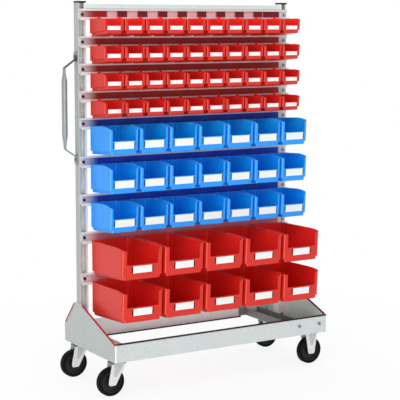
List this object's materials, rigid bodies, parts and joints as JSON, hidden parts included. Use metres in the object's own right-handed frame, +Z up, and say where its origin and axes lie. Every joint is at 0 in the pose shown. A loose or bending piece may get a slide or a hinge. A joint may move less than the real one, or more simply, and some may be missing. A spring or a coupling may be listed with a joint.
{
  "type": "bin trolley",
  "caption": "Wheeled upright rack with slotted uprights, hooked rails of open-front storage bins, a sheet-metal base on swivel and fixed castors, and a push handle at one end.",
  "frame": {"origin": "on the floor, under the middle of the sheet-metal base", "axes": "+Z up, +X along the trolley away from the push handle, -Y towards the open fronts of the bins"},
  "size_m": [1.2115, 0.5066, 1.708],
  "materials": {
    "galvanised_sheet": "pale galvanised sheet with a faint spangle",
    "galvanised_strut": "galvanised channel, satin",
    "rail_steel": "bright galvanised strip",
    "zinc_steel": "bright zinc plate",
    "handle_steel": "bright zinc-plated tube",
    "black_plastic": "black, satin",
    "tyre_rubber": "black solid rubber",
    "trim_plastic": "crimson edge strip",
    "red_plastic": "red moulded plastic, semi-gloss",
    "blue_plastic": "blue moulded plastic, semi-gloss",
    "white_card": "blank white card"
  },
  "bodies": {
    "root": {"left_end_panel": "galvanised_sheet", "right_end_panel": "galvanised_sheet", "front_panel": "galvanised_sheet", "rear_panel": "galvanised_sheet", "castor_bearers": "galvanised_sheet", "left_upright": "galvanised_strut", "right_upright": "galvanised_strut", "top_crossbeam": "galvanised_strut", "angle_brackets": "galvanised_strut", "bin_rail_1": "rail_steel", "bin_rail_2": "rail_steel", "bin_rail_3": "rail_steel", "bin_rail_4": "rail_steel", "bin_rail_5": "rail_steel", "bin_rail_6": "rail_steel", "bin_rail_7": "rail_steel", "bin_rail_8": "rail_steel", "bin_rail_9": "rail_steel", "hex_bolts": "zinc_steel", "hex_nuts": "zinc_steel", "channel_nuts": "zinc_steel", "front_left_swivel_plate": "zinc_steel", "rear_left_swivel_plate": "zinc_steel", "front_right_fixed_fork": "zinc_steel", "rear_right_fixed_fork": "zinc_steel", "kingpins": "zinc_steel", "right_axles": "zinc_steel", "push_handle": "handle_steel", "upright_caps": "black_plastic", "edge_trims": "trim_plastic"},
    "front_left_swivel": {"front_left_fork": "zinc_steel", "front_left_axle": "zinc_steel"},
    "rear_left_swivel": {"rear_left_fork": "zinc_steel", "rear_left_axle": "zinc_steel"},
    "front_left_wheel_body": {"front_left_wheel": "black_plastic", "front_left_tyre": "tyre_rubber"},
    "rear_left_wheel_body": {"rear_left_wheel": "black_plastic", "rear_left_tyre": "tyre_rubber"},
    "front_right_wheel_body": {"front_right_wheel": "black_plastic", "front_right_tyre": "tyre_rubber"},
    "rear_right_wheel_body": {"rear_right_wheel": "black_plastic", "rear_right_tyre": "tyre_rubber"},
    "row_1": {"row_1_bins": "red_plastic", "row_1_cards": "white_card"},
    "row_2": {"row_2_bins": "red_plastic", "row_2_cards": "white_card"},
    "row_3": {"row_3_bins": "red_plastic", "row_3_cards": "white_card"},
    "row_4": {"row_4_bins": "red_plastic", "row_4_cards": "white_card"},
    "row_5": {"row_5_bins": "blue_plastic", "row_5_cards": "white_card"},
    "row_6": {"row_6_bins": "blue_plastic", "row_6_cards": "white_card"},
    "row_7": {"row_7_bins": "blue_plastic", "row_7_cards": "white_card"},
    "row_8": {"row_8_bins": "red_plastic", "row_8_cards": "white_card"},
    "row_9": {"row_9_bins": "red_plastic", "row_9_cards": "white_card"}
  },
  "joints": [
    {"name": "front_left_castor_swivel", "type": "hinge", "parent": "root", "child": "front_left_swivel", "pos_m": [-0.509, -0.168, 0.15], "axis": [0, 0, 1], "continuous": true},
    {"name": "rear_left_castor_swivel", "type": "hinge", "parent": "root", "child": "rear_left_swivel", "pos_m": [-0.509, 0.196, 0.15], "axis": [0, 0, 1], "continuous": true},
    {"name": "front_left_wheel_roll", "type": "hinge", "parent": "front_left_swivel", "child": "front_left_wheel_body", "pos_m": [-0.543, -0.168, 0.0625], "axis": [0, 1, 0], "continuous": true},
    {"name": "rear_left_wheel_roll", "type": "hinge", "parent": "rear_left_swivel", "child": "rear_left_wheel_body", "pos_m": [-0.543, 0.196, 0.0625], "axis": [0, 1, 0], "continuous": true},
    {"name": "front_right_wheel_roll", "type": "hinge", "parent": "root", "child": "front_right_wheel_body", "pos_m": [0.52, -0.168, 0.0625], "axis": [0, 1, 0], "continuous": true},
    {"name": "rear_right_wheel_roll", "type": "hinge", "parent": "root", "child": "rear_right_wheel_body", "pos_m": [0.52, 0.196, 0.0625], "axis": [0, 1, 0], "continuous": true},
    {"name": "row_1_lift", "type": "slide", "parent": "root", "child": "row_1", "axis": [0, 0, 1], "range_m": [0, 0.012]},
    {"name": "row_2_lift", "type": "slide", "parent": "root", "child": "row_2", "axis": [0, 0, 1], "range_m": [0, 0.012]},
    {"name": "row_3_lift", "type": "slide", "parent": "root", "child": "row_3", "axis": [0, 0, 1], "range_m": [0, 0.012]},
    {"name": "row_4_lift", "type": "slide", "parent": "root", "child": "row_4", "axis": [0, 0, 1], "range_m": [0, 0.012]},
    {"name": "row_5_lift", "type": "slide", "parent": "root", "child": "row_5", "axis": [0, 0, 1], "range_m": [0, 0.012]},
    {"name": "row_6_lift", "type": "slide", "parent": "root", "child": "row_6", "axis": [0, 0, 1], "range_m": [0, 0.012]},
    {"name": "row_7_lift", "type": "slide", "parent": "root", "child": "row_7", "axis": [0, 0, 1], "range_m": [0, 0.012]},
    {"name": "row_8_lift", "type": "slide", "parent": "root", "child": "row_8", "axis": [0, 0, 1], "range_m": [0, 0.012]},
    {"name": "row_9_lift", "type": "slide", "parent": "root", "child": "row_9", "axis": [0, 0, 1], "range_m": [0, 0.012]}
  ]
}
